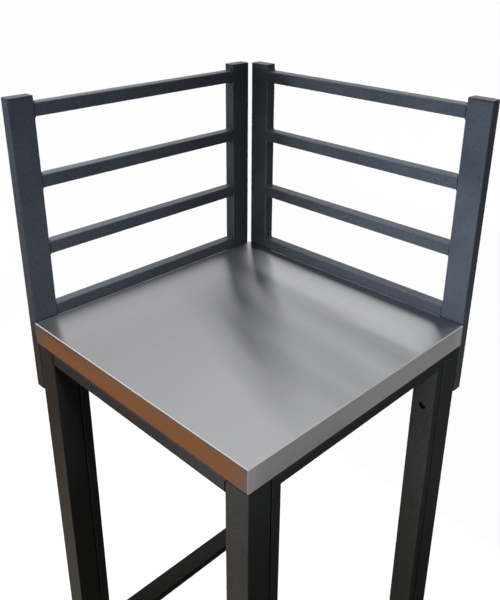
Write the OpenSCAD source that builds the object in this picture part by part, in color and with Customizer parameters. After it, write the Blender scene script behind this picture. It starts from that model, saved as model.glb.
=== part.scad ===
// Corner module of an outdoor kitchen: a stainless worktop on a bolted steel frame,
// with a ladder railing behind each of its two back edges and four levelling feet.
// X runs along the front edge, the left and back edges carry the railings,
// and the origin lies on the floor under the middle of the whole module.

/* [Worktop] */
// Width of the worktop along the front edge
worktop_w = 600; // [450:5:900]
// Depth of the worktop from front to back
worktop_d = 600; // [450:5:900]
// Height of the worktop's top face above the floor
worktop_h = 915; // [850:5:960]
// Height of the skin's folded edge
skirt_h = 46; // [36:1:60]
// Thickness of the stainless sheet
sheet_t = 1.2; // [0.8:0.1:2]
// Outer radius of the folds in the sheet
fold_r = 2.5; // [1.5:0.1:3]
// Width of the hem folded in under the board
hem_w = 20; // [12:1:24]
// Thickness of the sealing strips between frame and worktop
seal_t = 4; // [2:0.5:6]
// Width of the sealing strips
seal_w = 40; // [30:1:46]

/* [Legs and rails] */
// Width of the square leg tube
leg_w = 50; // [44:1:60]
// Wall of the leg tube
leg_wall = 2; // [1.5:0.5:3]
// Outer corner radius of the legs and the long rails
leg_r = 2; // [1:0.25:3]
// Distance from the worktop's edge in to the frame's outer faces
frame_inset = 2; // [1.5:0.5:8]
// Thickness of the plate welded on top of each leg
plate_t = 3; // [2:0.5:6]
// Height of the front and back rails
rail_h = 25; // [20:1:40]
// Wall of the front and back rails
rail_wall = 1.5; // [1:0.5:3]

/* [Side frames] */
// Width of the side frame tube, seen from the front
side_w = 50; // [40:1:54]
// Thickness of the side frame tube
side_t = 20; // [18:1:30]
// Wall of the side frame tube
side_wall = 1.5; // [1:0.5:2]
// Outer corner radius of the side frame tube
side_r = 1.5; // [1:0.25:2.5]
// Distance from the leg's outer face in to the side frame's outer face
side_inset = 0.5; // [0:0.5:6]
// Gap between leg and side frame, filled by the spacers
side_gap = 3; // [2:0.5:6]
// Step from the top of the legs down to the top of the side frame
side_drop = 2; // [1:0.5:10]
// Distance of the side frame's bolts from its upper and lower ends
side_bolt_edge = 114; // [80:1:200]
// Diameter of the access hole for each bolt
access_d = 16; // [14.5:0.5:18]

/* [Railings] */
// Overall height of a railing, with its end caps
railing_h = 600; // [560:5:700]
// Reach of the railing below the worktop's top face
railing_drop = 156.5; // [145:0.5:170]
// Width of a railing post
post_w = 50; // [40:1:56]
// Depth of a railing post
post_d = 25; // [20:1:32]
// Height of a rung
rung_h = 25; // [15:1:30]
// Depth of a rung
rung_d = 24; // [15:1:32]
// Wall of the railing tubes
railing_wall = 1.5; // [1:0.5:2]
// Outer corner radius of the railing tubes
railing_r = 2; // [1:0.25:2.5]
// Distance from the railing's top down to the top rung's upper face
rung_top = 14; // [8:0.5:30]
// Height of the lowest rung's upper face above the worktop
rung_rise = 23; // [15:0.5:60]
// Gap between the worktop's edge and the railing
railing_gap = 0.5; // [0.5:0.5:4]
// Distance from the worktop's corner to the end of each railing
corner_gap = 4.5; // [3:0.5:8]
// Height of the railing's lower bolts above its lower end
railing_bolt_edge = 24.5; // [22:0.5:30]
// Spacing of the two bolts in each post
railing_bolt_pitch = 55; // [30:1:60]
// Thickness of the post caps
cap_t = 3; // [2:0.5:5]
// Length of the cap's plug inside the post
cap_plug = 14; // [8:1:16]

/* [Fasteners] */
// Thread diameter of the frame bolts
bolt_d = 8; // [6:1:8]
// Length of the railing bolts under the head
railing_bolt_len = 40; // [36:1:44]
// Length of the side frame bolts under the head
side_bolt_len = 25; // [16:1:30]
// Thickness of the washers under the bolt heads
washer_t = 1.6; // [1:0.1:2]
// Diameter of the washers and spacers
washer_d = 17; // [15:0.5:18]
// Diameter of the worktop screws
screw_d = 6; // [4:0.5:7]
// Reach of the worktop screws into the board
screw_bite = 22; // [12:1:30]
// Distance of the worktop screws from the frame's left and right faces
screw_edge = 130; // [80:5:180]

/* [Feet] */
// Diameter of a foot pad
pad_d = 40; // [30:1:50]
// Height of a foot pad
pad_h = 6.7; // [6:0.1:12]
// Diameter of the foot's stud
stud_d = 10; // [8:1:12]
// Length of the foot's stud
stud_len = 60; // [50:1:80]
// Thickness of the lock nut
nut_t = 5; // [4:0.5:8]
// Thickness of the plug's flange under the leg
flange_t = 3; // [2:0.5:5]
// Length of the plug inside the leg
plug_len = 30; // [25:1:45]

/* [Hidden] */
$fn = 48;
run_gap = 0.3;
thread_gap = 0.05;
plug_gap = 0.25;
over = 1;

frame_colour = [0.17, 0.17, 0.17];
railing_colour = [0.26, 0.29, 0.33];
cap_colour = [0.33, 0.35, 0.37];
steel_colour = [0.68, 0.68, 0.67];
zinc_colour = [0.62, 0.63, 0.64];
board_colour = [0.55, 0.42, 0.28];
rubber_colour = [0.06, 0.06, 0.06];

// Fastener sizes that follow the thread
clear_d = bolt_d + 0.4;
nut_body_d = bolt_d + 3;
nut_flange_d = bolt_d + 6;
nut_flange_t = 1;
nut_body_len = 15;
button_head_d = bolt_d * 1.75;
button_head_h = bolt_d * 0.55;
cap_head_d = bolt_d * 1.625;
key_d = bolt_d * 0.7;
screw_head_d = screw_d * 2;
screw_head_h = screw_d * 0.6;
screw_clear_d = screw_d + 0.6;
screw_key_d = screw_d * 0.6;
hex_d = stud_d * 1.7 / cos(30);

// Plan: half sizes of the worktop and of the frame, and the faces of the railings
half_w = worktop_w / 2;
half_d = worktop_d / 2;
frame_w = half_w - frame_inset;
frame_d = half_d - frame_inset;
leg_x = frame_w - leg_w / 2;
leg_y = frame_d - leg_w / 2;
leg_bore = leg_w - 2 * leg_wall;
stick_out = railing_gap + post_d + washer_t + button_head_h;
railing_spacer = frame_inset + railing_gap - nut_flange_t;
side_spacer = side_gap - nut_flange_t;

// Heights, from the floor up
nut_z = pad_h + run_gap;
flange_z = nut_z + nut_t;
leg_z = flange_z + flange_t;
skirt_z = worktop_h - skirt_h;
frame_z = skirt_z - seal_t;
leg_len = frame_z - plate_t - leg_z;
side_z = frame_z - side_drop;
side_len = side_z - leg_z;
railing_z = worktop_h - railing_drop;
railing_top = railing_z + railing_h;
rungs = 4;
rung_pitch = (railing_h - railing_drop - rung_top - rung_rise) / (rungs - 1);

// Side frame: tube centre along X and inner and outer faces along Y
side_x = frame_w - side_inset - side_w / 2;
side_y = frame_d - leg_w - side_gap;
side_bolt_z = [leg_z + side_bolt_edge, side_z - side_bolt_edge];

// Railing: where it starts and ends along the edge, from the worktop's centre
railing_bolt_z = [railing_z + railing_bolt_edge, railing_z + railing_bolt_edge + railing_bolt_pitch];
left_start = -frame_d;
left_end = half_d - corner_gap;
right_start = -half_w + corner_gap;
right_end = frame_w;

// Every piece is drawn about the worktop's centre and then moved to the module's origin
module at_origin() {
    translate([stick_out / 2, -stick_out / 2, 0]) children();
}

// A rectangle centred on the origin with true arcs at its corners
module round_rect(w, d, r) {
    square([w - 2 * r, d], center = true);
    square([w, d - 2 * r], center = true);
    for (x = [-1, 1], y = [-1, 1]) {
        translate([x * (w / 2 - r), y * (d / 2 - r)]) circle(r);
    }
}

module tube_section(w, d, wall, r) {
    difference() {
        round_rect(w, d, r);
        square([w - 2 * wall, d - 2 * wall], center = true);
    }
}

// A tube standing on the XY plane
module tube(w, d, wall, r, len) {
    linear_extrude(len) tube_section(w, d, wall, r);
}

// Turns a piece drawn upwards so that it points along X or along Y
module along_x() {
    rotate([90, 0, 90]) children();
}

module along_y() {
    rotate([-90, 0, 0]) children();
}

// A drill along +X, -X, +Y or -Y, from just outside a wall to just inside it
module drill(dir, d, depth) {
    turn = atan2(dir[1], dir[0]);
    rotate([0, 90, turn]) translate([0, 0, -over]) cylinder(d = d, h = depth + 2 * over);
}

// A fastener drawn upwards, turned to point along a horizontal direction
module pointing(dir) {
    turn = atan2(dir[1], dir[0]);
    rotate([0, 90, turn]) children();
}

// Seats of the railing bolts on the legs' outer faces: place and inward direction
function left_seats() = [for (z = railing_bolt_z, y = [left_start + post_w / 2, left_end - post_w / 2])
    [[-frame_w, y, z], [1, 0, 0]]];
function right_seats() = [for (z = railing_bolt_z, x = [right_start + post_w / 2, right_end - post_w / 2])
    [[x, frame_d, z], [0, -1, 0]]];
function railing_seats() = concat(left_seats(), right_seats());

// Seats of the side frame bolts on the legs' inner faces
function side_seats() = [for (z = side_bolt_z, x = [-side_x, side_x], y = [-1, 1])
    [[x, y * (frame_d - leg_w), z], [0, y, 0]]];

// Legs: square tubes, drilled for the rivet nuts of the railings and the side frames
module leg(x, y) {
    color(frame_colour) at_origin() difference() {
        translate([x * leg_x, y * leg_y, leg_z]) tube(leg_w, leg_w, leg_wall, leg_r, leg_len);
        for (s = concat(railing_seats(), side_seats())) {
            near = abs(s[0][0] - x * leg_x) < leg_w && abs(s[0][1] - y * leg_y) < leg_w;
            if (near) translate(s[0]) drill(s[1], nut_body_d, leg_wall);
        }
    }
}

module leg_top_plates() {
    color(frame_colour) at_origin() for (x = [-1, 1], y = [-1, 1]) {
        translate([x * leg_x, y * leg_y, frame_z - plate_t]) linear_extrude(plate_t) {
            round_rect(leg_w, leg_w, leg_r);
        }
    }
}

// Long rails: tubes welded between the legs, drilled for the worktop screws
module long_rail(y) {
    span = 2 * (frame_w - leg_w);
    color(frame_colour) at_origin() difference() {
        translate([-span / 2, y * leg_y, frame_z - rail_h / 2]) along_x() {
            tube(leg_w, rail_h, rail_wall, leg_r, span);
        }
        for (x = [-1, 1]) {
            translate([x * (frame_w - screw_edge), y * leg_y, frame_z - rail_h - over]) {
                cylinder(d = screw_clear_d, h = rail_h + 2 * over);
            }
        }
    }
}

// Outline of a mitred bar that runs along a side of length len
module mitred(len) {
    polygon([[0, 0], [side_t, side_t], [len - side_t, side_t], [len, 0]]);
}

// Side frame bars, mitred at the corners: x is the side of the module
module stile(x, y) {
    color(frame_colour) at_origin() difference() {
        intersection() {
            translate([x * side_x, y * (side_y - side_t / 2), leg_z]) {
                tube(side_w, side_t, side_wall, side_r, side_len);
            }
            translate([x * side_x - side_w / 2 - over, y * side_y, leg_z]) {
                mirror([0, y > 0 ? 1 : 0, 0]) rotate([90, 0, 90]) linear_extrude(side_w + 2 * over) {
                    mirror([1, -1]) mitred(side_len);
                }
            }
        }
        for (z = side_bolt_z) {
            translate([x * side_x, y * (side_y - side_wall), z]) drill([0, y], clear_d, side_wall);
            translate([x * side_x, y * (side_y - side_t), z]) drill([0, y], access_d, side_wall);
        }
    }
}

module side_rail(x, z_dir) {
    mid_z = (leg_z + side_z) / 2;
    color(frame_colour) at_origin() translate([0, 0, mid_z]) mirror([0, 0, z_dir > 0 ? 1 : 0]) {
        translate([0, 0, -side_len / 2]) intersection() {
            translate([x * side_x, -side_y, side_t / 2]) along_y() {
                tube(side_w, side_t, side_wall, side_r, 2 * side_y);
            }
            translate([x * side_x - side_w / 2 - over, -side_y, 0]) {
                rotate([90, 0, 90]) linear_extrude(side_w + 2 * over) mitred(2 * side_y);
            }
        }
    }
}

// Fasteners, drawn with the seat at the origin and the shank pointing up
module ring(outer, inner, t) {
    difference() {
        cylinder(d = outer, h = t);
        translate([0, 0, -over]) cylinder(d = inner, h = t + 2 * over);
    }
}

module rivet_nut() {
    difference() {
        union() {
            translate([0, 0, -nut_flange_t]) cylinder(d = nut_flange_d, h = nut_flange_t);
            cylinder(d = nut_body_d - 2 * thread_gap, h = nut_body_len);
        }
        translate([0, 0, -nut_flange_t - over]) {
            cylinder(d = bolt_d, h = nut_body_len + nut_flange_t + 2 * over);
        }
    }
}

module bolt(head_d, head_h, len) {
    difference() {
        union() {
            translate([0, 0, -head_h]) cylinder(d = head_d, h = head_h);
            cylinder(d = bolt_d - 2 * thread_gap, h = len);
        }
        translate([0, 0, -head_h - over]) cylinder(d = key_d, h = head_h / 2 + over, $fn = 6);
    }
}

// Puts a fastener on each seat, drawn back from the leg's face by offset_out
module on_seats(seats, offset_out) {
    at_origin() for (s = seats) {
        translate(s[0] - s[1] * offset_out) pointing(s[1]) children();
    }
}

module side_frame_bolts() {
    color(zinc_colour) on_seats(side_seats(), side_gap + side_wall + washer_t) {
        bolt(cap_head_d, bolt_d, side_bolt_len);
    }
}

module side_frame_washers() {
    color(zinc_colour) on_seats(side_seats(), side_gap + side_wall + washer_t) {
        ring(cap_head_d, clear_d, washer_t);
    }
}

module side_frame_spacers() {
    color(zinc_colour) on_seats(side_seats(), side_gap) ring(washer_d, clear_d, side_spacer);
}

module side_frame_rivet_nuts() {
    color(zinc_colour) on_seats(side_seats(), 0) rivet_nut();
}

module railing_bolts() {
    color(zinc_colour) on_seats(railing_seats(), frame_inset + railing_gap + post_d + washer_t) {
        bolt(button_head_d, button_head_h, railing_bolt_len);
    }
}

module railing_washers() {
    color(zinc_colour) on_seats(railing_seats(), frame_inset + railing_gap + post_d + washer_t) {
        ring(washer_d, clear_d, washer_t);
    }
}

module railing_spacers() {
    color(zinc_colour) on_seats(railing_seats(), frame_inset + railing_gap) {
        ring(washer_d, clear_d, railing_spacer);
    }
}

module railing_rivet_nuts() {
    color(zinc_colour) on_seats(railing_seats(), 0) rivet_nut();
}

// Worktop: a folded stainless skin round a board. The fold is kept inside the sheet's corner.
module worktop_skin() {
    r = min(fold_r, 2.4 * sheet_t);
    color(steel_colour) at_origin() difference() {
        intersection() {
            translate([0, 0, skirt_z]) linear_extrude(skirt_h) round_rect(worktop_w, worktop_d, r);
            translate([-half_w - over, 0, skirt_z]) {
                along_x() linear_extrude(worktop_w + 2 * over) folded_profile(worktop_d, r);
            }
            translate([0, half_d + over, skirt_z]) {
                rotate([90, 0, 0]) linear_extrude(worktop_d + 2 * over) folded_profile(worktop_w, r);
            }
        }
        translate([-half_w + sheet_t, -half_d + sheet_t, skirt_z + sheet_t]) {
            cube([worktop_w - 2 * sheet_t, worktop_d - 2 * sheet_t, skirt_h - 2 * sheet_t]);
        }
        translate([-half_w + hem_w, -half_d + hem_w, skirt_z - over]) {
            cube([worktop_w - 2 * hem_w, worktop_d - 2 * hem_w, sheet_t + 2 * over]);
        }
    }
}

// Cross-section of the folded tray, standing on the X axis
module folded_profile(w, r) {
    translate([-w / 2, 0]) square([w, skirt_h - r]);
    translate([-w / 2 + r, 0]) square([w - 2 * r, skirt_h]);
    for (x = [-1, 1]) {
        translate([x * (w / 2 - r), skirt_h - r]) circle(r);
    }
}

module worktop_core() {
    color(board_colour) at_origin() difference() {
        translate([-half_w + sheet_t, -half_d + sheet_t, skirt_z + sheet_t]) {
            cube([worktop_w - 2 * sheet_t, worktop_d - 2 * sheet_t, skirt_h - 2 * sheet_t]);
        }
        for (x = [-1, 1], y = [-1, 1]) {
            translate([x * (frame_w - screw_edge), y * leg_y, skirt_z]) {
                cylinder(d = screw_d + 2 * thread_gap, h = sheet_t + screw_bite + over);
            }
        }
    }
}

module seal_strip(y) {
    color(rubber_colour) at_origin() difference() {
        translate([-frame_w + leg_r, y * leg_y - seal_w / 2, frame_z]) {
            cube([2 * (frame_w - leg_r), seal_w, seal_t]);
        }
        for (x = [-1, 1]) {
            translate([x * (frame_w - screw_edge), y * leg_y, frame_z - over]) {
                cylinder(d = screw_clear_d, h = seal_t + 2 * over);
            }
        }
    }
}

module worktop_screws() {
    len = rail_h + seal_t + sheet_t + screw_bite;
    color(zinc_colour) at_origin() for (x = [-1, 1], y = [-1, 1]) {
        translate([x * (frame_w - screw_edge), y * leg_y, frame_z - rail_h]) difference() {
            union() {
                translate([0, 0, -screw_head_h]) cylinder(d = screw_head_d, h = screw_head_h);
                cylinder(d = screw_d, h = len);
            }
            translate([0, 0, -screw_head_h - over]) {
                cylinder(d = screw_key_d, h = screw_head_h / 2 + over, $fn = 6);
            }
        }
    }
}

// Railings. Each is drawn along the left edge, from its start to its end, and the right one
// is the same ladder turned onto the back edge.
module left_post(start) {
    color(railing_colour) at_origin() difference() {
        translate([-half_w - railing_gap - post_d / 2, start + post_w / 2, railing_z + cap_t]) {
            tube(post_d, post_w, railing_wall, railing_r, railing_h - 2 * cap_t);
        }
        for (z = railing_bolt_z) {
            translate([-half_w - railing_gap - post_d, start + post_w / 2, z]) {
                drill([1, 0], clear_d, post_d);
            }
        }
    }
}

module right_post(start) {
    color(railing_colour) at_origin() difference() {
        translate([start + post_w / 2, half_d + railing_gap + post_d / 2, railing_z + cap_t]) {
            tube(post_w, post_d, railing_wall, railing_r, railing_h - 2 * cap_t);
        }
        for (z = railing_bolt_z) {
            translate([start + post_w / 2, half_d + railing_gap, z]) drill([0, 1], clear_d, post_d);
        }
    }
}

function rung_z(i) = railing_top - rung_top - rung_h / 2 - (i - 1) * rung_pitch;

module left_rung(i) {
    len = left_end - left_start - 2 * post_w;
    color(railing_colour) at_origin() {
        translate([-half_w - railing_gap - post_d / 2, left_start + post_w, rung_z(i)]) along_y() {
            tube(rung_d, rung_h, railing_wall, railing_r, len);
        }
    }
}

module right_rung(i) {
    len = right_end - right_start - 2 * post_w;
    color(railing_colour) at_origin() {
        translate([right_start + post_w, half_d + railing_gap + post_d / 2, rung_z(i)]) along_x() {
            tube(rung_d, rung_h, railing_wall, railing_r, len);
        }
    }
}

// A post cap drawn upside up: a plate with a hollow plug below it
module cap(w, d) {
    inner_w = w - 2 * (railing_wall + plug_gap);
    inner_d = d - 2 * (railing_wall + plug_gap);
    plug_wall = 2;
    linear_extrude(cap_t) round_rect(w, d, railing_r);
    translate([0, 0, -cap_plug]) linear_extrude(cap_plug) difference() {
        square([inner_w, inner_d], center = true);
        square([inner_w - 2 * plug_wall, inner_d - 2 * plug_wall], center = true);
    }
}

module cap_pair(w, d) {
    translate([0, 0, railing_top - cap_t]) cap(w, d);
    translate([0, 0, railing_z + cap_t]) mirror([0, 0, 1]) cap(w, d);
}

module left_railing_caps() {
    color(cap_colour) at_origin() for (y = [left_start + post_w / 2, left_end - post_w / 2]) {
        translate([-half_w - railing_gap - post_d / 2, y, 0]) cap_pair(post_d, post_w);
    }
}

module right_railing_caps() {
    color(cap_colour) at_origin() for (x = [right_start + post_w / 2, right_end - post_w / 2]) {
        translate([x, half_d + railing_gap + post_d / 2, 0]) cap_pair(post_w, post_d);
    }
}

// Leg plugs: a flange under the leg and a ribbed body with the foot's thread in its boss
module leg_plug(x, y) {
    body_w = leg_bore - 2 * plug_gap;
    boss_d = stud_d + 8;
    rib_t = 2;
    color(rubber_colour) at_origin() translate([x * leg_x, y * leg_y, 0]) difference() {
        union() {
            translate([0, 0, flange_z]) linear_extrude(flange_t) round_rect(leg_w, leg_w, leg_r);
            translate([0, 0, leg_z]) linear_extrude(plug_len) difference() {
                square(body_w, center = true);
                square(body_w - 2 * rib_t, center = true);
            }
            translate([0, 0, leg_z]) cylinder(d = boss_d, h = plug_len);
            for (a = [0, 90]) {
                rotate(a) translate([-body_w / 2, -rib_t / 2, leg_z]) cube([body_w, rib_t, plug_len]);
            }
        }
        translate([0, 0, flange_z - over]) {
            cylinder(d = stud_d + 2 * thread_gap, h = plug_len + flange_t + 2 * over);
        }
    }
}

module foot_lock_nuts() {
    color(zinc_colour) at_origin() for (x = [-1, 1], y = [-1, 1]) {
        translate([x * leg_x, y * leg_y, nut_z]) difference() {
            cylinder(d = hex_d, h = nut_t, $fn = 6);
            translate([0, 0, -over]) cylinder(d = stud_d + 2 * thread_gap, h = nut_t + 2 * over);
        }
    }
}

// Feet: a threaded stud that stands in a moulded pad
stud_seat = 2;

module foot_stud(x, y) {
    color(zinc_colour) at_origin() translate([x * leg_x, y * leg_y, stud_seat]) {
        cylinder(d = stud_d - 2 * thread_gap, h = stud_len);
    }
}

module foot_pad(x, y) {
    edge_h = 3;
    bevel = 1;
    top_d = max(pad_d * 0.6, stud_d + 8);
    color(rubber_colour) at_origin() translate([x * leg_x, y * leg_y, 0]) difference() {
        rotate_extrude() {
            polygon([[0, 0], [pad_d / 2 - bevel, 0], [pad_d / 2, bevel], [pad_d / 2, edge_h],
                [top_d / 2, pad_h], [0, pad_h]]);
        }
        translate([0, 0, stud_seat]) cylinder(d = stud_d, h = pad_h);
    }
}

leg(-1, -1);  // leg_front_left
leg(1, -1);  // leg_front_right
leg(-1, 1);  // leg_back_left
leg(1, 1);  // leg_back_right
leg_top_plates();
long_rail(-1);  // front_rail
long_rail(1);  // back_rail
stile(-1, -1);  // left_stile_front
stile(-1, 1);  // left_stile_back
side_rail(-1, 1);  // left_upper_rail
side_rail(-1, -1);  // left_lower_rail
stile(1, -1);  // right_stile_front
stile(1, 1);  // right_stile_back
side_rail(1, 1);  // right_upper_rail
side_rail(1, -1);  // right_lower_rail
side_frame_bolts();
side_frame_washers();
side_frame_spacers();
side_frame_rivet_nuts();
worktop_skin();
worktop_core();
seal_strip(-1);  // front_seal_strip
seal_strip(1);  // back_seal_strip
worktop_screws();
left_post(left_start);  // left_railing_front_post
left_post(left_end - post_w);  // left_railing_back_post
left_rung(1);  // left_rung_1
left_rung(2);  // left_rung_2
left_rung(3);  // left_rung_3
left_rung(4);  // left_rung_4
right_post(right_end - post_w);  // right_railing_outer_post
right_post(right_start);  // right_railing_corner_post
right_rung(1);  // right_rung_1
right_rung(2);  // right_rung_2
right_rung(3);  // right_rung_3
right_rung(4);  // right_rung_4
left_railing_caps();
right_railing_caps();
railing_bolts();
railing_washers();
railing_spacers();
railing_rivet_nuts();
leg_plug(-1, -1);  // leg_plug_front_left
leg_plug(1, -1);  // leg_plug_front_right
leg_plug(-1, 1);  // leg_plug_back_left
leg_plug(1, 1);  // leg_plug_back_right
foot_lock_nuts();
foot_stud(-1, -1);  // foot_stud_front_left
foot_stud(1, -1);  // foot_stud_front_right
foot_stud(-1, 1);  // foot_stud_back_left
foot_stud(1, 1);  // foot_stud_back_right
foot_pad(-1, -1);  // foot_pad_front_left
foot_pad(1, -1);  // foot_pad_front_right
foot_pad(-1, 1);  // foot_pad_back_left
foot_pad(1, 1);  // foot_pad_back_right
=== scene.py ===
from math import cos, pi, radians, sin, tau

import bmesh
import bpy
from mathutils import Matrix, Vector


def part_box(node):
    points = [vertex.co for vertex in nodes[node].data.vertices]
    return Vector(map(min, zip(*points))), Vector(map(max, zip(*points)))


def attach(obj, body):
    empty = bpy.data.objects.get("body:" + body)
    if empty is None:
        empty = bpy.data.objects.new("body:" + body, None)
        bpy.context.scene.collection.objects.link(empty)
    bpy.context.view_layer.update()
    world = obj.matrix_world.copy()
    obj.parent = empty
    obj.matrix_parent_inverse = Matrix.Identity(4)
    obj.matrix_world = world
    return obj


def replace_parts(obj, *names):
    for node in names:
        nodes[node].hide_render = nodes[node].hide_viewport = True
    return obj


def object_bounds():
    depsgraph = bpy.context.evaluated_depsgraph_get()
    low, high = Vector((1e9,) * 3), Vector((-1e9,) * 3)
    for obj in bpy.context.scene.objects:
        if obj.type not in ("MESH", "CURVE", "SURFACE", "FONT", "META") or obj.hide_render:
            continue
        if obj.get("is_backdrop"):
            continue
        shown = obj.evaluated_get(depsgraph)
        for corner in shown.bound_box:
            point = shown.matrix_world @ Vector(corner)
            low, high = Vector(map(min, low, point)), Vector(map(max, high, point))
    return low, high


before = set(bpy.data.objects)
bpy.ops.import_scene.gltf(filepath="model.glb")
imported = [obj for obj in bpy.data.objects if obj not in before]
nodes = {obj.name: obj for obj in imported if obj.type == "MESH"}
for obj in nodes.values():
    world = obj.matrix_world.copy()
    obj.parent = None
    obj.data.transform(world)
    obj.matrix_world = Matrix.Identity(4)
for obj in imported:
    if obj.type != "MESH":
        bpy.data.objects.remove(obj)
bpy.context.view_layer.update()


# Camera
# A hand-held photograph from eye height, taken across the module's near corner along its diagonal.
# The lens is known in pixels of the 500 by 600 frame, and so is the point its axis passes through.
FRAME_W_PX, FRAME_H_PX = 500, 600
LENS_PX = 713.0
SENSOR_MM = 36.0
AXIS_X_PX, AXIS_Y_PX = 245.4, 244.1
EYE = Vector((0.8898, -0.8907, 1.6136))
TURN, TILT, LEAN = radians(45.31), radians(23.05), radians(0.18)


def placed(name, data):
    """A new object in the scene, at the origin."""
    made = bpy.data.objects.new(name, data)
    bpy.context.scene.collection.objects.link(made)
    return made


camera_data = bpy.data.cameras.new("camera")
camera_data.sensor_width = SENSOR_MM
camera_data.lens = LENS_PX / FRAME_H_PX * SENSOR_MM
camera_data.shift_x = (FRAME_W_PX / 2 - AXIS_X_PX) / FRAME_H_PX
camera_data.shift_y = (AXIS_Y_PX - FRAME_H_PX / 2) / FRAME_H_PX
camera = placed("camera", camera_data)
look = Matrix.Rotation(TURN, 4, "Z") @ Matrix.Rotation(pi / 2 - TILT, 4, "X") @ Matrix.Rotation(LEAN, 4, "Z")
camera.matrix_world = Matrix.Translation(EYE) @ look
bpy.context.scene.camera = camera
bpy.context.scene.view_settings.view_transform = "Standard"


# Legs and their top plates
# Square mild steel tube, sawn to length, with a plate welded over the top end. The frame is blasted, sprayed
# with near-black polyester powder and baked, which leaves a fine orange peel with a satin sheen.
def emptied(owner):
    """The node tree of a material or a world, with nothing left in it."""
    owner.use_nodes = True
    owner.node_tree.nodes.clear()
    return owner.node_tree


def new_material(name):
    """A material, its node tree and its Principled shader, which is joined to the output."""
    material = bpy.data.materials.new(name)
    tree = emptied(material)
    shader = tree.nodes.new("ShaderNodeBsdfPrincipled")
    output = tree.nodes.new("ShaderNodeOutputMaterial")
    tree.links.new(shader.outputs["BSDF"], output.inputs["Surface"])
    return material, tree, shader


def new_tree(name, kind, inputs, outputs):
    """A node group whose sockets are named; an input is given as its kind and its value."""
    tree = bpy.data.node_groups.new(name, kind)
    for socket, (socket_type, value) in inputs.items():
        made = tree.interface.new_socket(socket, in_out="INPUT", socket_type="NodeSocket" + socket_type)
        if value is not None:
            made.default_value = value
    for socket, socket_type in outputs.items():
        tree.interface.new_socket(socket, in_out="OUTPUT", socket_type="NodeSocket" + socket_type)
    return tree, tree.nodes.new("NodeGroupInput").outputs, tree.nodes.new("NodeGroupOutput").inputs


def node(tree, kind, settings=None, **inputs):
    """A new node with its settings, and its inputs set or linked by name, or by number as in i0."""
    made = tree.nodes.new(kind)
    for key, value in (settings or {}).items():
        setattr(made, key, value)
    for key, value in inputs.items():
        numbered = key[0] == "i" and key[1:].isdigit()
        socket = made.inputs[int(key[1:])] if numbered else made.inputs[key.replace("_", " ")]
        if isinstance(value, bpy.types.NodeSocket):
            tree.links.new(value, socket)
        else:
            socket.default_value = value
    return made


def maths(tree, operation, *values):
    """The result of a maths node."""
    numbered = {f"i{index}": value for index, value in enumerate(values)}
    return node(tree, "ShaderNodeMath", {"operation": operation}, **numbered).outputs[0]


def plus(tree, first, second):
    return maths(tree, "ADD", first, second)


def minus(tree, first, second):
    return maths(tree, "SUBTRACT", first, second)


def times(tree, first, second):
    return maths(tree, "MULTIPLY", first, second)


def spread(tree, value, low, high, to_low=0.0, to_high=1.0):
    """Maps a value from one range to another, held at the ends."""
    ends = {"From_Min": low, "From_Max": high, "To_Min": to_low, "To_Max": to_high}
    return node(tree, "ShaderNodeMapRange", Value=value, **ends).outputs[0]


def noise(tree, place, size, detail=2.0, roughness=0.5):
    """Cloudy noise, finer as its size value grows."""
    made = node(tree, "ShaderNodeTexNoise", Vector=place, Scale=size, Detail=detail, Roughness=roughness)
    return made.outputs["Fac"]


def blended(tree, factor, first, second):
    """A mix of two colours."""
    return node(tree, "ShaderNodeMix", {"data_type": "RGBA"}, i0=factor, i6=first, i7=second).outputs[2]


def toned(tree, colour, tone):
    """A colour made lighter or darker, or a vector made longer or shorter."""
    return node(tree, "ShaderNodeVectorMath", {"operation": "SCALE"}, i0=colour, Scale=tone).outputs[0]


def crevice_dirt_and_shade_group():
    """Darkening where two faces meet, from soiling and as painted shade in the crease."""
    tree, given, result = new_tree("crevice_dirt", "ShaderNodeTree", {
        "Colour": ("Color", (0.5, 0.5, 0.5, 1)),
        "Dirt": ("Color", (0.02, 0.018, 0.015, 1)),
        "Reach": ("Float", 0.006),
        "Amount": ("Float", 0.6),
    }, {"Colour": "Color"})
    # The less open sky a point sees, the more painted shade and soiling it takes.
    unshaded_share, full_shade_share = 0.85, 0.25
    open_share = node(tree, "ShaderNodeAmbientOcclusion", {"samples": 8}, Distance=given["Reach"]).outputs["AO"]
    hidden = spread(tree, open_share, unshaded_share, full_shade_share)
    amount = times(tree, hidden, given["Amount"])
    tree.links.new(blended(tree, amount, given["Colour"], given["Dirt"]), result["Colour"])
    return tree


def worn_and_highlit_edge_group():
    """A broken mask on the round corners of square tube and on weld beads, where handling rubs a coat and a
    highlight is painted.
    """
    tree, given, result = new_tree("rubbed_corners", "ShaderNodeTree", {
        "Amount": ("Float", 0.5),
    }, {"Mask": "Float"})
    flat_face, round_corner = 0.99, 0.93
    patch_size = 70.0
    place = node(tree, "ShaderNodeTexCoord").outputs["Object"]
    facing = node(tree, "ShaderNodeNewGeometry").outputs["True Normal"]
    size = node(tree, "ShaderNodeVectorMath", {"operation": "ABSOLUTE"}, i0=facing)
    axes = node(tree, "ShaderNodeSeparateXYZ", Vector=size.outputs[0]).outputs
    straight = maths(tree, "MAXIMUM", maths(tree, "MAXIMUM", axes["X"], axes["Y"]), axes["Z"])
    corner = spread(tree, straight, flat_face, round_corner)
    patches = noise(tree, place, patch_size, detail=5.0, roughness=0.7)
    broken = spread(tree, patches, 0.35, 0.6, 0.35, 1.0)
    mask = times(tree, times(tree, corner, broken), given["Amount"])
    tree.links.new(mask, result["Mask"])
    return tree


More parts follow.
